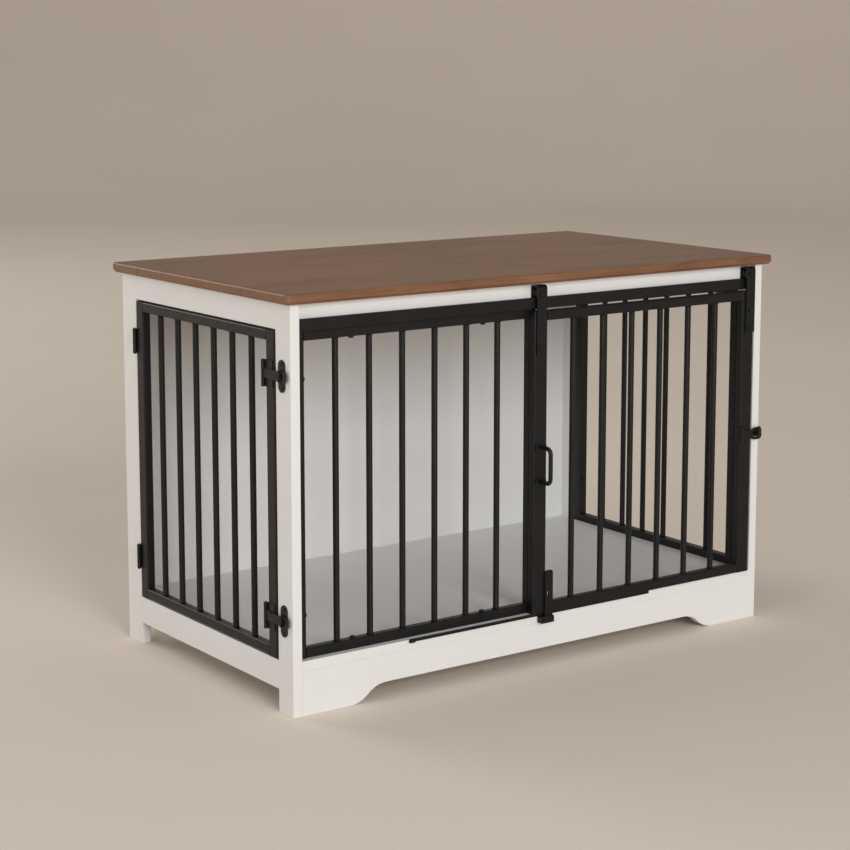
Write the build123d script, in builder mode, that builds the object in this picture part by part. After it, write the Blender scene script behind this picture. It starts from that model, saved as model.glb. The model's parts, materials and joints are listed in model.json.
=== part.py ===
"""A dog crate built as an end table: wooden body and top, steel grilles, a barn-style sliding door
on the front and a hinged door in the left side, each with hasps that a turn button locks."""
from build123d import *
from dataclasses import dataclass
import os

os.makedirs("parts", exist_ok=True)

# ---------------------------------------------------------------- driving dimensions (millimetres)
length = 1100  # over the top panel, along X
depth = 620  # over the top panel, along Y
height = 720
board = 18  # thickness of every wooden board
overhang = 14  # of the top panel past the body, all round
handle_reach = 34  # of the pull handle, from the face of the sliding door
door_proud = 5  # the sliding door's face past the posts

# The origin is on the floor, under the middle of the overall box with the handle counted.
yc = (door_proud + handle_reach - overhang) / 2
side_x = length / 2 - overhang  # outer faces of the side frames
in_x = side_x - board  # their inner faces
front = yc - depth / 2 + overhang  # the posts' front faces
rear = yc + depth / 2 - overhang
top_z = height - board  # underside of the top panel

# Wooden frame
front_post = 47  # width of the front posts, seen from the side
rear_post = 53
side_bottom = (40, 90.5)  # bottom rails of the side frames, low and high edges
side_top = (656, top_z)
floor_top = 96
floor_low = floor_top - board
head_low = 655.5  # lower edge of the front top rail
recess = 12  # of the front top rail and the fixed grille behind the posts' faces
apron_arch = 29.6  # height of the arch under the aprons
arch_half = 347  # half width of its level part
foot_half = 423  # where its ogee ends reach the floor
panel_thick = 6  # back panel
groove = 6  # its depth in the rails

# Steel grilles
wall = 1.2  # of the rectangular tube
corner = 2.5  # its outer corner radius
rail = 18  # height of every rail but the right grille's
slim = 16  # tube of the fixed grille and the side door, front to back
fixed_stile = 16
side_stile = 26
door_stile = 30
door_deep = 15
square = 20  # tube of the right grille
bar_r = 5.5
bar_wall = 1
bar_count = 6
fixed_pitch = 68.5  # between bars
door_pitch = 70
side_pitch = 64.2
weld = 0.05  # gap left where two tubes are welded
grille_bolts_x = (-404, -126)  # bolts up and down through the fixed grille's rails
grille_bolts_z = (170, 573)  # and sideways through its left stile
right_bolts_z = (190, 563)

# Sliding door and its track
door_x = (-29, 511)
door_z = (97.5, 652)
track_z = (655.6, 676.2)
track_thick = 5
hanger_width = 22
hanger_low = 572
strap_thick = 3
rear_lip = (8.3, 10.8)  # the hanger's rear leg, from the posts' faces
rear_lip_low = 667
hanger_top = 698.5
hanger_bend = 6  # outer radius where the flat bar turns over the track
roller_r = 10  # over the flanges
tread_r = 7.5
tread_gap = 0.3  # running clearance over the track
roller_width = 9.4
tread_width = 5.8
axle_r = 2.5
run_gap = 0.05  # radial clearance of every running fit

# Side door and its hinges
door_gap_front = 2
door_gap_rear = 3
door_gap_low = 3
side_proud = 2  # the side door's face past the posts
hinge_z = (170, 579)
hinge_tall = 45
knuckle_r = 3.5
leaf = 1.2
hinge_out = 5  # hinge axis past the posts' side faces

# Hasps, in each hasp's own frame: u runs to its keeper, v is up, w points out of the door's face
hasp_plate = 1.5
hasp_w = 2.6  # underside of the hasp above the door's face
hasp_knuckle_r = 3.2
hasp_axis_w = hasp_knuckle_r + 0.1
hasp_pin_r = 1.3
knuckle_gap = 0.3  # between two knuckles on one pin
keeper_thick = 2
boss_r = 6.5
boss_top = 2.2  # along w
neck_r = 3
button_w = 4.7  # underside of the button's wing
button_thick = 3.5

# Fasteners
dowel_r = 4
dowel_long = 28
dowel_slack = 0.1
screw_r = 1.75
head_r = 3.4
head_high = 1.8
bolt_r = 2.5
bolt_head_r = 4.5
bolt_head = 2.5
wood_bolt_head_r = 5  # the bolts that hold the grilles to the wood
wood_bolt_head = 3.5

left, up = Vector(-1, 0, 0), Vector(0, 0, 1)
along_x, along_y, toward = Vector(1, 0, 0), Vector(0, 1, 0), Vector(0, -1, 0)
LOW = (Align.CENTER, Align.CENTER, Align.MIN)
HIGH = (Align.CENTER, Align.CENTER, Align.MAX)


# ------------------------------------------------------------------------------- small helpers
def save(piece, name):
    """Label one finished sub-part and write it."""
    piece.part.label = name
    export_step(piece.part, f"parts/{name}.step")


def block(x, y, z, mode=Mode.ADD):
    """A box between two x, two y and two z values, in the part being built."""
    with Locations(((x[0] + x[1]) / 2, (y[0] + y[1]) / 2, (z[0] + z[1]) / 2)):
        Box(x[1] - x[0], y[1] - y[0], z[1] - z[0], mode=mode)


def seat(x, y, z, out):
    """Where a screw or dowel sits, its axis along out."""
    return Plane(origin=(x, y, z), z_dir=out).location


def bore(places, radius, deep):
    """Blind holes going inwards from each seat, in the part being built."""
    with Locations(*places):
        Cylinder(radius, deep, align=HIGH, mode=Mode.SUBTRACT)


def screws(name, places, shank, radius=screw_r, head=head_r, high=head_high):
    """A group of identical round-headed screws, one solid at each seat."""
    with BuildPart() as group:
        with Locations(*places):
            Cylinder(radius, shank, align=HIGH)
            Cylinder(head, high, align=LOW)
        rims = group.edges().filter_by(GeomType.CIRCLE).filter_by(lambda e: abs(e.radius - head) < 1e-3)
        outer = [e for e in rims if min((e.arc_center - p.position).length for p in places) > high / 2]
        fillet(outer, high * 0.6)
    save(group, name)


# ------------------------------------------------------------------------------- joinery
def side_dowels():
    """Seats of the dowels between the side rails and their posts, along Y."""
    places = []
    for x in (-side_x + board / 2, side_x - board / 2):
        for low, high in (side_bottom, side_top):
            for z in (low + 12, high - 12):
                for y in (front + front_post, rear - rear_post):
                    places.append(seat(x, y, z, along_y))
    return places


def cross_dowels():
    """Seats of the dowels between the cross boards and the posts, along X, deeper in the boards."""
    rows = [(front + recess + board / 2, (667, 690)), (front + board / 2, (22, 62)),
            (rear - board / 2, (671, 690)), (rear - board / 2, (52, 80))]
    places = []
    for y, heights in rows:
        for z in heights:
            for x in (-in_x + 2, in_x - 2):
                places.append(seat(x, y, z, along_x))
    return places


dowel_places = side_dowels() + cross_dowels()

# Seats of the screws that enter wood, and how deep each group's holes are
grille_low, grille_high = floor_top, head_low
grille_x = (-in_x + 0.3, -12)
grille_deep = front + recess + slim / 2  # middle of the fixed grille's tubes
grille_seats = ([seat(x, grille_deep, grille_low + rail, up) for x in grille_bolts_x]
                + [seat(x, grille_deep, grille_high - rail, -up) for x in grille_bolts_x]
                + [seat(grille_x[0] + fixed_stile, grille_deep, z, along_x) for z in grille_bolts_z])

right_y = (front + front_post + 0.3, rear - rear_post - 0.3)
right_z = (side_bottom[1] + 0.3, side_top[0] - 0.3)
right_mid = side_x + side_proud - square / 2
right_seats = ([seat(right_mid, right_y[0] + square, z, along_y) for z in right_bolts_z]
               + [seat(right_mid, right_y[1] - square, z, toward) for z in right_bolts_z])

track_seats = [seat(x, front, 661, toward) for x in (-490, -165, 165, 490)]
guide_z = (92, 97)
guide_seats = [seat(x, front - 3, guide_z[0] + 2, toward) for x in (-230, -110, 120, 230)]
guide_block_face = front - 12
guide_block_x = (-14, 16)
guide_block_z = (79, 91.5)
block_seats = [seat(-6, guide_block_face, sum(guide_block_z) / 2, toward)]

bracket_leg = 20
bracket_thick = 2
bracket_sites = ([(x, front + recess + board, along_y) for x in (-300, 300)]
                 + [(x, rear - board, toward) for x in (-300, 300)]
                 + [(-in_x, yc, along_x), (in_x, yc, left)])
top_seats = []  # two for each bracket: up into the top panel, and sideways into the rail
for x, y, inward in bracket_sites:
    reach = inward * 12
    top_seats.append(seat(x + reach.X, y + reach.Y, top_z - bracket_thick, -up))
    skin = inward * bracket_thick
    top_seats.append(seat(x + skin.X, y + skin.Y, top_z - 12, inward))

side_door_y = (front + front_post + door_gap_front, rear - rear_post - door_gap_rear)
side_door_z = (side_bottom[1] + door_gap_low, side_top[0] - door_gap_low)
side_face = -side_x - side_proud
door_face = front - door_proud


@dataclass
class Hasp:
    """One hasp and its turn button. plane's origin is on the door's face, under the knuckle's axis."""
    name: str
    plane: Plane
    post_w: float  # the post's face along w
    reach: float  # from the knuckle to the button
    half: float  # half height of the strap
    end: tuple  # its loop: length, height, corner radius, and shift of its middle from the button
    slot: tuple  # length, height, and shift of its middle from the button
    base_half: float  # half height of the base leaf
    keeper: tuple  # width and height of the keeper plate, which is a round stud where they are equal
    wing: tuple  # the button: length, width, and shift of its middle up from the pivot
    spare: float = 0  # height of the keeper's two spare holes above and below the middle

    @property
    def is_stud(self):
        return self.keeper[0] == self.keeper[1]

    def seats(self, u, v, w):
        """A pair of seats above and below the middle."""
        return [Plane(origin=self.plane.from_local_coords((u, s * v, w)), z_dir=self.plane.z_dir).location
                for s in (-1, 1)]


def side_hasp(name, z):
    plane = Plane(origin=(side_face, side_door_y[0] + side_stile + 4, z), x_dir=toward, z_dir=left)
    return Hasp(name, plane, -side_proud, 53, 8, (30, 19.5, 7, 5), (21, 10, 0), 23, (20, 55), (18, 6.5, 0), 11.8)


front_reach = 43
front_plane = Plane(origin=(in_x + board / 2 - front_reach, door_face, 371.5), x_dir=along_x, z_dir=toward)
side_hasps = [side_hasp("upper", 580), side_hasp("lower", 163)]
front_hasp = Hasp("front", front_plane, -door_proud, front_reach, 9, (26, 24, 8, -4), (21, 14, -4.5), 15.5,
                  (16, 16), (19.5, 7, 4.25))
hasps = side_hasps + [front_hasp]
keeper_seats = []
for h in side_hasps:
    keeper_seats += h.seats(h.reach, h.keeper[1] / 2 - 7, h.post_w + keeper_thick)
stud_long = 16  # of the front stud's shank in the post
stud_seats = front_hasp.seats(front_reach, 0, front_hasp.post_w)[:1]

wood_bores = [(grille_seats, 33), (right_seats, 33), (track_seats, 29), (guide_seats, 13),
              (block_seats, 31), (top_seats, 13), (keeper_seats, 15), (stud_seats, stud_long + 1)]


# ------------------------------------------------------------------------------- wooden body
def wooden(name, x, y, z, easing=1):
    """A painted board, eased on every edge, with holes for the dowels and screws that enter it."""
    with BuildPart() as piece:
        block(x, y, z)
        fillet(piece.edges(), easing)
        with Locations(*dowel_places):
            Cylinder(dowel_r + dowel_slack, dowel_long + 1, mode=Mode.SUBTRACT)
        for places, deep in wood_bores:
            bore(places, screw_r + run_gap, deep)
    save(piece, name)


with BuildPart() as top_panel:
    block((-length / 2, length / 2), (yc - depth / 2, yc + depth / 2), (top_z, height))
    fillet(top_panel.edges().filter_by(Axis.Z), 7)
    fillet(top_panel.faces().sort_by(Axis.Z)[-1].edges(), 4)
    chamfer(top_panel.faces().sort_by(Axis.Z)[0].edges(), 5)
    bore(top_seats, screw_r + run_gap, 13)
save(top_panel, "top_panel")

for side, outer, inner in (("left", -side_x, -in_x), ("right", side_x, in_x)):
    span = (min(outer, inner), max(outer, inner))
    rail_y = (front + front_post, rear - rear_post)
    wooden(f"{side}_front_post", span, (front, rail_y[0]), (0, top_z))
    wooden(f"{side}_rear_post", span, (rail_y[1], rear), (0, top_z))
    wooden(f"{side}_top_rail", span, rail_y, side_top)
    wooden(f"{side}_bottom_rail", span, rail_y, side_bottom)

wooden("front_top_rail", (-in_x, in_x), (front + recess, front + recess + board), (head_low, top_z))
wooden("floor_panel", (-in_x, in_x), (front, rear - board), (floor_low, floor_top))

# The front apron: level arch, with an ogee of two arcs coming down to a foot at each end.
with BuildPart() as front_apron:
    with BuildSketch(Plane.XZ.offset(-front)) as outline:
        with BuildLine():
            half = (foot_half + arch_half) / 2
            Line((0, apron_arch), (arch_half, apron_arch))
            TangentArc((arch_half, apron_arch), (half, apron_arch / 2), tangent=(1, 0))
            TangentArc((foot_half, 0), (half, apron_arch / 2), tangent=(-1, 0))
            Line((foot_half, 0), (in_x, 0))
            Line((in_x, 0), (in_x, floor_low))
            Line((in_x, floor_low), (0, floor_low))
            Line((0, floor_low), (0, apron_arch))
        make_face()
        mirror(about=Plane.YZ)
    extrude(amount=-board)
    fillet(front_apron.faces().sort_by(Axis.Y)[0].edges(), 1)
    with Locations(*dowel_places):
        Cylinder(dowel_r + dowel_slack, dowel_long + 1, mode=Mode.SUBTRACT)
save(front_apron, "front_apron")

with BuildPart() as floor_battens:
    for x in (-in_x + board / 2, in_x - board / 2):
        block((x - board / 2, x + board / 2), (front + board, rear - board), (floor_low - board, floor_low))
    block((-board / 2, board / 2), (front + board, rear - board), (side_bottom[0], floor_low))
save(floor_battens, "floor_battens")

back_mid = rear - board / 2
for rail_name, rail_z, mouth in (("back_top_rail", (head_low, top_z), head_low),
                                 ("back_bottom_rail", (side_bottom[0], floor_top), floor_top)):
    with BuildPart() as back_rail:
        block((-in_x, in_x), (rear - board, rear), rail_z)
        fillet(back_rail.edges(), 1)
        block((-in_x, in_x), (back_mid - panel_thick / 2 - 0.1, back_mid + panel_thick / 2 + 0.1),
              (mouth - groove - 0.5, mouth + groove + 0.5), mode=Mode.SUBTRACT)
        with Locations(*dowel_places):
            Cylinder(dowel_r + dowel_slack, dowel_long + 1, mode=Mode.SUBTRACT)
        bore(top_seats, screw_r + run_gap, 14)
    save(back_rail, rail_name)

with BuildPart() as back_panel:
    block((-in_x, in_x), (back_mid - panel_thick / 2, back_mid + panel_thick / 2),
          (floor_top - groove, head_low + groove))
save(back_panel, "back_panel")

with BuildPart() as dowels:
    with Locations(*dowel_places):
        Cylinder(dowel_r, dowel_long)
save(dowels, "dowels")

with BuildPart() as top_brackets:
    for x, y, inward in bracket_sites:
        with Locations(Plane(origin=(x, y, top_z), x_dir=inward, z_dir=up).location):
            Box(bracket_leg, 24, bracket_thick, align=(Align.MIN, Align.CENTER, Align.MAX))
            Box(bracket_thick, 24, bracket_leg, align=(Align.MIN, Align.CENTER, Align.MAX))
    bore(top_seats, screw_r + run_gap, 14)
save(top_brackets, "top_brackets")
screws("bracket_screws", top_seats, 12, head=3, high=1.5)


# ------------------------------------------------------------------------------- steel grilles
def tube(start, direction, x_dir, wide, deep, long, cap=0):
    """A length of rectangular tube with rounded corners, closed at its far end if cap is a thickness."""
    with BuildPart() as piece:
        with BuildSketch(Plane(origin=start, x_dir=x_dir, z_dir=direction)):
            RectangleRounded(wide, deep, corner)
        extrude(amount=long)
        with BuildSketch(Plane(origin=start, x_dir=x_dir, z_dir=direction)):
            RectangleRounded(wide - 2 * wall, deep - 2 * wall, corner - wall)
        extrude(amount=long - cap, mode=Mode.SUBTRACT)
    return piece.part


def grille(frame_name, bars_name, start, u, size, stile, rail, deep, pitch, middle, holes=(), hole_r=0):
    """A welded frame and its round bars. start is the lower corner at mid depth, u the way along it."""
    wide, tall = size
    with BuildPart() as frame:
        for s in (stile / 2, wide - stile / 2):
            add(tube(start + u * s, up, u, stile, deep, tall, cap=2))
        for v in (rail / 2, tall - rail / 2):
            add(tube(start + u * (stile + weld) + up * v, u, up, rail, deep, wide - 2 * (stile + weld)))
        if holes:
            bore(holes, hole_r, max(stile, rail))
    save(frame, frame_name)
    with BuildPart() as bars:
        with BuildSketch(Plane(origin=start + up * (rail + weld), x_dir=u, z_dir=up)):
            with Locations(*[(middle + (i - (bar_count - 1) / 2) * pitch, 0) for i in range(bar_count)]):
                Circle(bar_r)
                Circle(bar_r - bar_wall, mode=Mode.SUBTRACT)
        extrude(amount=tall - 2 * (rail + weld))
    save(bars, bars_name)


grille("fixed_grille_frame", "fixed_grille_bars", Vector(grille_x[0], grille_deep, grille_low), along_x,
       (grille_x[1] - grille_x[0], grille_high - grille_low), fixed_stile, rail, slim, fixed_pitch,
       (grille_x[1] - grille_x[0]) / 2, grille_seats, screw_r + run_gap)
screws("fixed_grille_screws", grille_seats, 30, head=wood_bolt_head_r, high=wood_bolt_head)

grille("right_grille_frame", "right_grille_bars", Vector(right_mid, right_y[0], right_z[0]), along_y,
       (right_y[1] - right_y[0], right_z[1] - right_z[0]), square, square, square, side_pitch,
       (right_y[1] - right_y[0]) / 2, right_seats, screw_r + run_gap)
screws("right_grille_screws", right_seats, 32, head=wood_bolt_head_r, high=wood_bolt_head)

# ------------------------------------------------------------------------------- track and guides
with BuildPart() as door_track:
    block((-in_x + 0.3, in_x - 0.3), (front, front + track_thick), track_z)
    fillet(door_track.faces().sort_by(Axis.Y)[0].edges(), 0.8)
    bore(track_seats, screw_r + run_gap, track_thick + 1)
save(door_track, "door_track")

with BuildPart() as track_spacers:
    with Locations(*[s * Pos(0, 0, -track_thick) for s in track_seats]):
        Cylinder(4, recess - track_thick, align=HIGH)
        Cylinder(screw_r + run_gap, recess - track_thick, align=HIGH, mode=Mode.SUBTRACT)
save(track_spacers, "track_spacers")
screws("track_screws", track_seats, 28, head=2.8, high=0.6)

guide_x = (-292, 254)
with BuildPart() as guide_rail:
    block(guide_x, (front - 3, front), guide_z)
    block((guide_x[0] - 8, guide_x[0] + 3), (front - 5, front), (guide_z[0] - 1, guide_z[1]))
    fillet(guide_rail.edges().filter_by(Axis.Z).group_by(Axis.X)[0], 2)
    bore(guide_seats, screw_r + run_gap, 4)
save(guide_rail, "guide_rail")
screws("guide_rail_screws", guide_seats, 12, head=2, high=0.6)

# The guide keeps the foot of the sliding door from swinging out: a block and an upright plate.
guide_plate_x = (-3, 15)
guide_plate_top = 176
with BuildPart() as door_guide:
    block(guide_block_x, (guide_block_face, front), guide_block_z)
    fillet(door_guide.edges().filter_by(Axis.Y), 2)
    block(guide_plate_x, (front - 9, front - 6), (guide_block_z[0] + 2, guide_plate_top))
    fillet(door_guide.faces().sort_by(Axis.Z)[-1].edges().filter_by(Axis.Y), 5)
    with BuildSketch(Plane.XZ.offset(-front + 6)):
        with Locations((4, 133)):
            SlotOverall(9, 4, rotation=90)
    extrude(amount=3, mode=Mode.SUBTRACT)
    bore(block_seats, screw_r + run_gap, 13)
save(door_guide, "door_guide")
screws("door_guide_screw", block_seats, 30)

# ------------------------------------------------------------------------------- sliding door
hanger_x = (door_x[0] + door_stile / 2, door_x[1] - hanger_width / 2)
hanger_bolt_z = (581, 615)
axle_z = track_z[1] + tread_r + tread_gap
track_mid = front + track_thick / 2
hanger_seats = [seat(x, door_face - strap_thick, z, toward) for x in hanger_x for z in hanger_bolt_z]
axle_seats = [seat(x, door_face - strap_thick, axle_z, toward) for x in hanger_x]
handle_x = door_x[0] + door_stile / 2
handle_z = (342, 405.5)
rod_r = 4
handle_screw_seats = [seat(x, door_face - 2, z, toward)
                      for x in (handle_x - 8, handle_x + 8) for z in handle_z]

foot_seats = [seat(door_x[0] + 9, door_face, 121, toward)]

grille("sliding_door_frame", "sliding_door_bars", Vector(door_x[0], door_face + door_deep / 2, door_z[0]),
       along_x, (door_x[1] - door_x[0], door_z[1] - door_z[0]), door_stile, rail, door_deep,
       door_pitch, (door_x[1] - door_x[0]) / 2, hanger_seats + handle_screw_seats + foot_seats,
       bolt_r + run_gap)
screws("foot_bolt", foot_seats, 10, bolt_r, bolt_head_r, bolt_head)

for hanger_name, x in zip(("left_hanger", "right_hanger"), hanger_x):
    with BuildPart() as hanger:
        with BuildSketch(Plane.YZ.offset(x - hanger_width / 2)) as profile:
            outer_y = (door_face - strap_thick, front + rear_lip[1])
            with BuildLine():
                Polyline((outer_y[0], hanger_low), (outer_y[0], hanger_top), (outer_y[1], hanger_top),
                         (outer_y[1], rear_lip_low), (front + rear_lip[0], rear_lip_low),
                         (front + rear_lip[0], hanger_top - strap_thick),
                         (door_face, hanger_top - strap_thick), (door_face, hanger_low),
                         (outer_y[0], hanger_low))
            make_face()
            fillet(profile.vertices().group_by(Axis.Y)[-1], hanger_bend)
            inner = [v for v in profile.vertices() if abs(v.Y - hanger_top + strap_thick) < 0.01]
            fillet(inner, hanger_bend - strap_thick)
        extrude(amount=hanger_width)
        fillet(hanger.faces().sort_by(Axis.Z)[0].edges().filter_by(Axis.Y), 2)
        bore(hanger_seats, bolt_r + run_gap, 4)
        bore(axle_seats, axle_r + run_gap, 30)
    save(hanger, hanger_name)

screws("hanger_bolts", hanger_seats, door_deep, bolt_r, bolt_head_r, bolt_head)
screws("roller_axles", axle_seats, strap_thick + door_proud + rear_lip[1], axle_r, bolt_head_r, bolt_head)

for roller_name, x in zip(("left_roller", "right_roller"), hanger_x):
    with BuildPart() as roller:
        with BuildSketch(Plane(origin=(x, track_mid, axle_z), x_dir=up, z_dir=along_y)):
            Circle(tread_r)
        extrude(amount=tread_width / 2, both=True)
        flange = (roller_width - tread_width) / 2
        for s in (-1, 1):
            with Locations(seat(x, track_mid + s * (tread_width + flange) / 2, axle_z, along_y)):
                Cylinder(roller_r, flange)
        fillet(roller.edges().filter_by(GeomType.CIRCLE).filter_by(lambda e: e.radius > roller_r - 0.1), 0.6)
        with Locations(seat(x, track_mid, axle_z, along_y)):
            Cylinder(axle_r + run_gap, roller_width + 1, mode=Mode.SUBTRACT)
    save(roller, roller_name)

# Pull handle: a bent round rod on two flat tabs.
with BuildPart() as door_handle:
    grip = door_face - handle_reach + rod_r
    with BuildLine() as bend:
        FilletPolyline((handle_x, door_face - 1, handle_z[0]), (handle_x, grip, handle_z[0]),
                       (handle_x, grip, handle_z[1]), (handle_x, door_face - 1, handle_z[1]), radius=10)
    with BuildSketch(Plane(origin=bend.line @ 0, z_dir=bend.line % 0)):
        Circle(rod_r)
    sweep()
    for z in handle_z:
        block((handle_x - 13, handle_x + 13), (door_face - 2, door_face), (z - 6, z + 6))
    fillet(door_handle.edges().filter_by(Axis.Y), 4)
    bore(handle_screw_seats, bolt_r + run_gap, 3)
save(door_handle, "door_handle")
screws("handle_screws", handle_screw_seats, 8, bolt_r, head_r, 1.5)

# ------------------------------------------------------------------------------- side door
side_mid = side_face + slim / 2
grille("side_door_frame", "side_door_bars", Vector(side_mid, side_door_y[0], side_door_z[0]), along_y,
       (side_door_y[1] - side_door_y[0], side_door_z[1] - side_door_z[0]), side_stile, rail, slim,
       side_pitch, (side_door_y[1] - side_door_y[0]) / 2 + 2)

hinge_x = -side_x - hinge_out
hinge_y = side_door_y[1] + door_gap_rear / 2
leaf_x = (hinge_x + knuckle_r + 0.3, -in_x - 1)
hinge_pin_r = 1.5
thirds = hinge_tall / 6  # half the height of the middle knuckle


def hinge_leaves(name, faces, knuckles):
    """Hinge leaves at both heights: a plate between two y values and knuckles at the given spans."""
    with BuildPart() as leaves:
        for z in hinge_z:
            block(leaf_x, faces, (z - hinge_tall / 2, z + hinge_tall / 2))
            for low, high in knuckles:
                block((hinge_x, leaf_x[0]), faces, (z + low, z + high))
                with Locations((hinge_x, hinge_y, z + low)):
                    Cylinder(knuckle_r, high - low, align=LOW)
            with Locations((hinge_x, hinge_y, z)):
                Cylinder(hinge_pin_r + run_gap, hinge_tall + 2, mode=Mode.SUBTRACT)
    save(leaves, name)


hinge_leaves("hinge_door_leaves", (side_door_y[1], side_door_y[1] + leaf), [(-thirds + 0.3, thirds - 0.3)])
hinge_leaves("hinge_post_leaves", (rear - rear_post - leaf, rear - rear_post),
             [(-hinge_tall / 2, -thirds), (thirds, hinge_tall / 2)])
with BuildPart() as hinge_pins:
    for z in hinge_z:
        with Locations((hinge_x, hinge_y, z - hinge_tall / 2)):
            Cylinder(hinge_pin_r, hinge_tall, align=LOW)
        for end, align in ((-hinge_tall / 2, HIGH), (hinge_tall / 2, LOW)):
            with Locations((hinge_x, hinge_y, z + end)):
                Cylinder(hinge_pin_r + 1, 1.5, align=align)
save(hinge_pins, "hinge_pins")


# ------------------------------------------------------------------------------- hasps and buttons
def hasp_base(h):
    """The base leaf on the door, with the two outer knuckles."""
    with BuildPart(h.plane) as base:
        block((hasp_knuckle_r + 1, h.reach / 2), (-h.base_half, h.base_half), (0, hasp_plate))
        for low, high in ((-h.base_half, -h.half - knuckle_gap), (h.half + knuckle_gap, h.base_half)):
            block((0, hasp_knuckle_r + 1), (low, high), (0, hasp_plate))
            with Locations((0, (low + high) / 2, hasp_axis_w)):
                Cylinder(hasp_knuckle_r, high - low, rotation=(90, 0, 0))
        with Locations((0, 0, hasp_axis_w)):
            Cylinder(hasp_pin_r + run_gap, 3 * h.base_half, rotation=(90, 0, 0), mode=Mode.SUBTRACT)
    return base.part


def hasp_pin(h):
    with BuildPart(h.plane) as pin:
        with Locations((0, 0, hasp_axis_w)):
            Cylinder(hasp_pin_r, 2 * h.base_half + 1, rotation=(90, 0, 0))
    return pin.part


def strap(h):
    """The swinging strap: middle knuckle, flat strap, and a round end with a slot for the button."""
    with BuildPart(h.plane) as swing:
        block((0, h.reach), (-h.half, h.half), (hasp_w, hasp_w + hasp_plate))
        with BuildSketch(h.plane.offset(hasp_w)):
            with Locations((h.reach + h.end[3], 0)):
                RectangleRounded(*h.end[:3])
        extrude(amount=hasp_plate)
        with Locations((0, 0, hasp_axis_w)):
            Cylinder(hasp_knuckle_r, 2 * h.half, rotation=(90, 0, 0))
            Cylinder(hasp_pin_r + run_gap, 2 * h.half + 1, rotation=(90, 0, 0), mode=Mode.SUBTRACT)
        with BuildSketch(h.plane.offset(hasp_w)):
            with Locations((h.reach + h.slot[2], 0)):
                SlotOverall(h.slot[0], h.slot[1])
        extrude(amount=hasp_plate, mode=Mode.SUBTRACT)
    return swing.part


def keeper(h):
    """The keeper on the post: a rounded plate or a screw-in stud, with a boss that the button turns in."""
    with BuildPart(h.plane) as plate:
        with BuildSketch(h.plane.offset(h.post_w)):
            with Locations((h.reach, 0)):
                if h.is_stud:
                    Circle(h.keeper[0] / 2)
                else:
                    SlotOverall(h.keeper[1], h.keeper[0], rotation=90)
        extrude(amount=keeper_thick)
        with Locations((h.reach, 0, h.post_w)):
            Cylinder(boss_r, boss_top - h.post_w, align=LOW)
        with Locations((h.reach, 0, h.post_w + 0.4)):
            Cylinder(neck_r + run_gap, 20, align=LOW, mode=Mode.SUBTRACT)
        if h.is_stud:
            with Locations((h.reach, 0, h.post_w)):
                Cylinder(screw_r, stud_long, align=HIGH)
        else:
            with Locations(*[(h.reach, s * v, 0) for s in (-1, 1) for v in (h.keeper[1] / 2 - 7, h.spare)]):
                Cylinder(screw_r + run_gap, 30, mode=Mode.SUBTRACT)
    return plate.part


def turn_button(h):
    """The button: a neck in the boss, and a wing across the slot that locks the strap."""
    with BuildPart(h.plane) as turn:
        with Locations((h.reach, 0, h.post_w + 0.6)):
            Cylinder(neck_r, button_w - h.post_w - 0.6, align=LOW)
        with BuildSketch(h.plane.offset(button_w)):
            with Locations((h.reach, h.wing[2])):
                SlotOverall(h.wing[0], h.wing[1], rotation=90)
        extrude(amount=button_thick)
        fillet(turn.faces().sort_by(Axis(h.plane.origin, h.plane.z_dir))[-1].edges(), 1.4)
    return turn.part


def gather(name, pieces):
    """One node made of separate solids."""
    with BuildPart() as group:
        for piece in pieces:
            add(piece)
    save(group, name)


gather("keepers", [keeper(h) for h in hasps])
screws("keeper_screws", keeper_seats, 14)
gather("side_hasp_bases", [hasp_base(h) for h in side_hasps])
gather("side_hasp_pins", [hasp_pin(h) for h in side_hasps])
gather("front_hasp_base", [hasp_base(front_hasp)])
gather("front_hasp_pin", [hasp_pin(front_hasp)])
for h in hasps:
    gather(f"{h.name}_hasp", [strap(h)])
    gather(f"{h.name}_turn_button", [turn_button(h)])
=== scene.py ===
"""Looks of the dog crate end table: wood, paint and steel, weld beads, studio floor, lights, camera."""
import json
import math

import bmesh
import bpy
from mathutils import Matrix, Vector, noise


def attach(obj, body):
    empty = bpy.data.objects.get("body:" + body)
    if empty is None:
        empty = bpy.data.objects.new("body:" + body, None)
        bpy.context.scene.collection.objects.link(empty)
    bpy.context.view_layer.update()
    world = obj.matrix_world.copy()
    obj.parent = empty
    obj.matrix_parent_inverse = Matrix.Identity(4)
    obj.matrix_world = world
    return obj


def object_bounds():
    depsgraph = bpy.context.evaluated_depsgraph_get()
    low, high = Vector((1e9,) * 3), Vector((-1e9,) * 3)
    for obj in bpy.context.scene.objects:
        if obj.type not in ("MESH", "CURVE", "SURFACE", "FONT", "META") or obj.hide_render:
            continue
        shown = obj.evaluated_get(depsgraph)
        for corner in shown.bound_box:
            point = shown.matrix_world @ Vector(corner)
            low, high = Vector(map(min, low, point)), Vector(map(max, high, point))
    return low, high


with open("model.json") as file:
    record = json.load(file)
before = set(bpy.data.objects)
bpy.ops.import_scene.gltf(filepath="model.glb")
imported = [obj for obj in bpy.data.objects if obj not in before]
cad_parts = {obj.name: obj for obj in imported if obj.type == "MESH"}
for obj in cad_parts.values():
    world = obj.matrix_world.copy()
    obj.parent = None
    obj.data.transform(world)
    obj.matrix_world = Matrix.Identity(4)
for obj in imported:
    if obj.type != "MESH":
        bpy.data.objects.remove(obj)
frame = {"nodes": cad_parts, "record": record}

cad_low, cad_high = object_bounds()
nodes = frame["nodes"]


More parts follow.
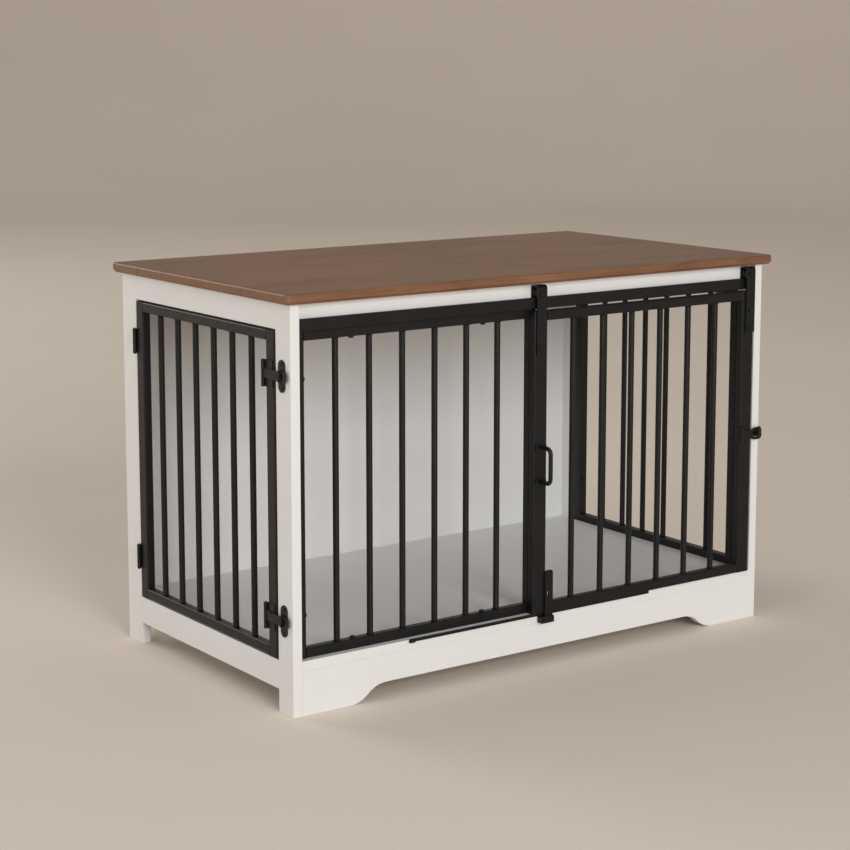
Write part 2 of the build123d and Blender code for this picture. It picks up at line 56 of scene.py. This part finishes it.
# ------------------------------------------------------------------------------- material helpers
class Shader:
    """A principled material with short calls for adding and joining nodes."""

    def __init__(self, name, **values):
        self.material = bpy.data.materials.new(name)
        self.material.use_nodes = True
        self.tree = self.material.node_tree
        self.surface = self.tree.nodes["Principled BSDF"]
        for key, value in values.items():
            self.surface.inputs[key.replace("_", " ")].default_value = value
        self.place = self.add("ShaderNodeTexCoord").outputs["Object"]

    def add(self, kind, **settings):
        node = self.tree.nodes.new(kind)
        for key, value in settings.items():
            setattr(node, key, value)
        return node

    def join(self, start, end):
        self.tree.links.new(start, end)

    def stretched(self, x, y, z):
        """Object coordinates in metres, scaled along each axis."""
        mapping = self.add("ShaderNodeMapping")
        mapping.inputs["Scale"].default_value = (x, y, z)
        self.join(self.place, mapping.inputs["Vector"])
        return mapping.outputs["Vector"]

    def noise(self, where, scale, detail=4, rough=0.5, distort=0):
        node = self.add("ShaderNodeTexNoise")
        self.join(where, node.inputs["Vector"])
        for key, value in (("Scale", scale), ("Detail", detail), ("Roughness", rough), ("Distortion", distort)):
            node.inputs[key].default_value = value
        return node.outputs["Fac"]

    def ramp(self, factor, *stops):
        """A colour ramp through (position, colour) stops."""
        node = self.add("ShaderNodeValToRGB")
        self.join(factor, node.inputs["Fac"])
        elements = node.color_ramp.elements
        while len(elements) < len(stops):
            elements.new(0.5)
        for element, (position, colour) in zip(elements, stops):
            element.position, element.color = position, (*colour, 1)
        return node.outputs["Color"]

    def span(self, factor, low, high, from_low=0.0, from_high=1.0):
        """factor carried from one range to another."""
        node = self.add("ShaderNodeMapRange")
        self.join(factor, node.inputs["Value"])
        for key, value in (("From Min", from_low), ("From Max", from_high), ("To Min", low), ("To Max", high)):
            node.inputs[key].default_value = value
        return node.outputs["Result"]

    def mix(self, factor, a, b, kind="MIX"):
        """Two colours mixed by a socket or a number."""
        node = self.add("ShaderNodeMix", data_type="RGBA", blend_type=kind)
        for value, socket in ((factor, node.inputs[0]), (a, node.inputs[6]), (b, node.inputs[7])):
            if isinstance(value, bpy.types.NodeSocket):
                self.join(value, socket)
            else:
                socket.default_value = value
        return node.outputs[2]

    def bump(self, height, strength, distance):
        """Adds a layer of relief over what is there already."""
        node = self.add("ShaderNodeBump")
        node.inputs["Strength"].default_value = strength
        node.inputs["Distance"].default_value = distance
        self.join(height, node.inputs["Height"])
        normal = self.surface.inputs["Normal"]
        if normal.is_linked:
            self.join(normal.links[0].from_socket, node.inputs["Normal"])
        self.join(node.outputs["Normal"], normal)

    def colour(self, socket):
        self.join(socket, self.surface.inputs["Base Color"])

    def roughness(self, socket):
        self.join(socket, self.surface.inputs["Roughness"])


# ------------------------------------------------------------------------------- materials
def walnut():
    """Satin walnut veneer: grain along X, dark pores, a slight change of tone from board to board."""
    m = Shader("walnut_veneer", Specular_IOR_Level=0.26)
    figure = m.noise(m.stretched(1.1, 9.0, 9.0), 2.4, 7, 0.62, 0.9)
    tone = m.ramp(figure, (0.28, (0.165, 0.078, 0.038)), (0.47, (0.235, 0.117, 0.060)),
                  (0.60, (0.265, 0.137, 0.073)), (0.76, (0.200, 0.097, 0.049)))
    fibre = m.noise(m.stretched(5.0, 190.0, 190.0), 3.0, 5, 0.6)
    fine = m.ramp(fibre, (0.32, (0.80, 0.78, 0.76)), (0.56, (1.0, 1.0, 1.0)))
    pores = m.noise(m.stretched(22.0, 640.0, 640.0), 2.0, 2, 0.5)
    marks = m.ramp(pores, (0.30, (0.66, 0.62, 0.60)), (0.38, (1.0, 1.0, 1.0)))
    cloud = m.ramp(m.noise(m.stretched(1.0, 1.6, 1.0), 2.2, 2, 0.5),
                   (0.35, (0.92, 0.92, 0.93)), (0.65, (1.06, 1.04, 1.02)))
    wood = m.mix(1.0, m.mix(1.0, m.mix(1.0, tone, fine, "MULTIPLY"), marks, "MULTIPLY"), cloud, "MULTIPLY")
    m.colour(wood)
    m.roughness(m.span(fibre, 0.32, 0.46))
    m.bump(pores, 0.10, 0.0004)
    m.bump(fibre, 0.06, 0.0005)
    return m.material


def white_paint():
    """Satin white paint rolled on board: faint stipple, slow tone drift, a little darker towards the bottom."""
    m = Shader("white_satin_paint", Specular_IOR_Level=0.45)
    drift = m.noise(m.stretched(3.0, 3.0, 3.0), 1.6, 3, 0.5)
    base = m.ramp(drift, (0.30, (0.775, 0.778, 0.775)), (0.70, (0.805, 0.808, 0.806)))
    # the paint colour is mixed a little darker over the lowest 12 cm, towards the bottom
    low = m.add("ShaderNodeSeparateXYZ")
    m.join(m.place, low.inputs["Vector"])
    low_darkening = m.span(low.outputs["Z"], 0.05, 0.0, 0.0, 0.12)
    m.colour(m.mix(low_darkening, base, (0.62, 0.60, 0.56, 1)))
    stipple = m.noise(m.place, 650.0, 3, 0.6)
    m.roughness(m.span(m.noise(m.place, 9.0, 4, 0.6), 0.34, 0.46))
    m.bump(stipple, 0.05, 0.0003)
    m.bump(drift, 0.04, 0.002)
    return m.material


def black_steel():
    """Black powder coat on steel: pebbled surface, slightly uneven sheen."""
    m = Shader("black_powder_coat", Specular_IOR_Level=0.30)
    pebble = m.noise(m.place, 1500.0, 3, 0.55)
    patch = m.noise(m.place, 14.0, 4, 0.6)
    m.colour(m.ramp(patch, (0.3, (0.0050, 0.0050, 0.0054)), (0.7, (0.0082, 0.0082, 0.0087))))
    m.roughness(m.span(patch, 0.34, 0.46))
    m.bump(pebble, 0.12, 0.0002)
    return m.material


def black_nylon():
    """Matt black nylon of the rollers, with a fine mottled haze."""
    m = Shader("black_nylon", Specular_IOR_Level=0.4)
    haze = m.noise(m.place, 240.0, 4, 0.6)
    m.colour(m.ramp(haze, (0.3, (0.018, 0.018, 0.018)), (0.7, (0.032, 0.032, 0.031))))
    m.roughness(m.span(haze, 0.46, 0.62))
    m.bump(haze, 0.2, 0.0002)
    return m.material


def zinc():
    """Bright zinc plate with faint brushing, for the hidden angle brackets."""
    m = Shader("zinc_plate", Metallic=1.0)
    brush = m.noise(m.stretched(40.0, 900.0, 900.0), 2.0, 3, 0.6)
    m.colour(m.ramp(brush, (0.3, (0.50, 0.51, 0.53)), (0.7, (0.68, 0.69, 0.70))))
    m.roughness(m.span(brush, 0.28, 0.46))
    m.bump(brush, 0.08, 0.0002)
    return m.material


def beech():
    """Plain beech of the dowels: pale, with short flecks along the grain."""
    m = Shader("plain_beech")
    fleck = m.noise(m.stretched(90.0, 900.0, 900.0), 1.0, 3, 0.6)
    m.colour(m.ramp(fleck, (0.3, (0.44, 0.29, 0.17)), (0.7, (0.60, 0.43, 0.27))))
    m.roughness(m.span(fleck, 0.6, 0.75))
    m.bump(fleck, 0.2, 0.0003)
    return m.material


finishes = {"walnut_top": walnut(), "white_paint": white_paint(), "black_steel": black_steel(),
            "black_nylon": black_nylon(), "zinc_steel": zinc(), "bare_wood": beech()}
slot_of = {row["node"]: row["material_slot"] for row in frame["record"]["subparts"]}


def dress(piece, slot):
    """Gives a piece the one finish of its slot."""
    piece.data.materials.clear()
    piece.data.materials.append(finishes[slot])


for node_name, node in nodes.items():
    dress(node, slot_of[node_name])


# ------------------------------------------------------------------------------- welds
bead_r = 0.0013
bead_stir = 0.0004  # how far the bead's surface wanders
bead_grain = 900  # lumps of the bead's surface, per metre


def islands(mesh):
    """The separate solids of a node, each as its lowest and highest corners, in the mesh's own order."""
    shape = bmesh.new()
    shape.from_mesh(mesh)
    left = set(shape.verts)
    found = []
    for start in shape.verts:
        if start not in left:
            continue
        left.remove(start)
        reached = [start]
        for vert in reached:
            for edge in vert.link_edges:
                other = edge.other_vert(vert)
                if other in left:
                    left.remove(other)
                    reached.append(other)
        corners = [vert.co for vert in reached]
        found.append((Vector(min(c[i] for c in corners) for i in range(3)),
                      Vector(max(c[i] for c in corners) for i in range(3))))
    shape.free()
    return found


def weld_bead(shape, middle, radius):
    """Adds one lumpy ring of weld round a bar, at middle."""
    turns, sides = 28, 8
    rings = []
    for turn in range(turns):
        angle = 2 * math.pi * turn / turns
        out = Vector((math.cos(angle), math.sin(angle), 0))
        ring = []
        for side in range(sides):
            around = 2 * math.pi * side / sides
            spot = middle + out * (radius + bead_r * math.cos(around)) + Vector((0, 0, bead_r * math.sin(around)))
            ring.append(shape.verts.new(spot + out * bead_stir * noise.noise(spot * bead_grain)))
        rings.append(ring)
    for turn in range(turns):
        here, there = rings[turn], rings[(turn + 1) % turns]
        for side in range(sides):
            after = (side + 1) % sides
            shape.faces.new((here[side], there[side], there[after], here[after]))


def weld_grille(name, bars, body):
    """The weld beads at both ends of a grille's bars."""
    shape = bmesh.new()
    for low, high in islands(nodes[bars].data):
        middle = (low + high) / 2
        for z in (low.z, high.z):
            weld_bead(shape, Vector((middle.x, middle.y, z)), (high.x - low.x) / 2)
    bmesh.ops.recalc_face_normals(shape, faces=shape.faces)
    mesh = bpy.data.meshes.new(name)
    shape.to_mesh(mesh)
    shape.free()
    mesh.shade_smooth()
    welds = bpy.data.objects.new(name, mesh)
    bpy.context.scene.collection.objects.link(welds)
    dress(welds, "black_steel")
    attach(welds, body)


for grille, body in (("fixed_grille", "cabinet"), ("right_grille", "cabinet"),
                     ("sliding_door", "front_door"), ("side_door", "side_door")):
    weld_grille(f"{grille}_welds", f"{grille}_bars", body)


# ------------------------------------------------------------------------------- studio
def studio_floor():
    """A plain pale floor that curves up far out into a round backdrop, so that no horizon line shows."""
    flat, bend = 9.5, 5.0  # radius of the level part and of the curve, in metres
    steps, sides = 24, 128
    profile = [(0.001, 0.0), (flat, 0.0)]
    for step in range(1, steps + 1):
        turn = step / steps * math.pi / 2
        profile.append((flat + bend * math.sin(turn), bend * (1 - math.cos(turn))))
    shape = bmesh.new()
    corners = [shape.verts.new((r, 0, z)) for r, z in profile]
    edges = [shape.edges.new(pair) for pair in zip(corners, corners[1:])]
    bmesh.ops.spin(shape, geom=corners + edges, cent=(0, 0, 0), axis=(0, 0, 1), steps=sides,
                   angle=2 * math.pi, use_merge=True)
    bmesh.ops.recalc_face_normals(shape, faces=shape.faces)
    mesh = bpy.data.meshes.new("studio_floor")
    shape.to_mesh(mesh)
    shape.free()
    mesh.shade_smooth()
    floor = bpy.data.objects.new("studio_floor", mesh)
    bpy.context.scene.collection.objects.link(floor)
    m = Shader("pale_floor", Specular_IOR_Level=0.1)
    tone = m.noise(m.place, 0.7, 3, 0.5)
    m.colour(m.ramp(tone, (0.3, (0.84, 0.745, 0.645)), (0.7, (0.87, 0.775, 0.675))))
    m.roughness(m.span(m.noise(m.place, 3.0, 3, 0.5), 0.6, 0.75))
    floor.data.materials.append(m.material)


def soft_light(name, place, aim, size, power, colour):
    """A square area light at place that faces aim."""
    data = bpy.data.lights.new(name, "AREA")
    data.shape, data.size, data.energy, data.color = "SQUARE", size, power, colour
    lamp = bpy.data.objects.new(name, data)
    lamp.location = place
    lamp.rotation_mode = "QUATERNION"
    lamp.rotation_quaternion = (Vector(aim) - Vector(place)).to_track_quat("-Z", "Y")
    bpy.context.scene.collection.objects.link(lamp)


def studio_lights():
    middle = (cad_low + cad_high) / 2
    soft_light("front", (-1.5, -9.0, 3.1), middle, 4.0, 490, (1.0, 1.0, 1.0))
    soft_light("side", (-8.4, -1.6, 2.6), middle, 3.6, 125, (1.0, 1.0, 1.0))
    soft_light("back", (-3.4, 7.6, 3.4), middle, 4.0, 210, (1.0, 0.98, 0.95))
    world = bpy.data.worlds.new("studio")
    world.use_nodes = True
    sky = world.node_tree.nodes["Background"].inputs
    sky["Color"].default_value = (0.78, 0.76, 0.73, 1)
    sky["Strength"].default_value = 0.42
    bpy.context.scene.world = world
    bpy.context.scene.view_settings.view_transform = "Standard"


def main_camera():
    """Three-quarter view from the left front, a little above the table top."""
    azimuth, elevation = math.radians(-35.56), math.radians(8.3)
    aim, distance = Vector((-0.017, 0.0635, 0.5585)), 3.934
    back = Vector((math.sin(azimuth) * math.cos(elevation), -math.cos(azimuth) * math.cos(elevation),
                   math.sin(elevation)))
    data = bpy.data.cameras.new("camera")
    data.sensor_width, data.lens, data.shift_y = 36, 86.6, -0.1
    camera = bpy.data.objects.new("camera", data)
    camera.location = aim + back * distance
    camera.rotation_mode = "QUATERNION"
    camera.rotation_quaternion = back.to_track_quat("Z", "Y")
    bpy.context.scene.collection.objects.link(camera)
    bpy.context.scene.camera = camera


studio_floor()
studio_lights()
main_camera()
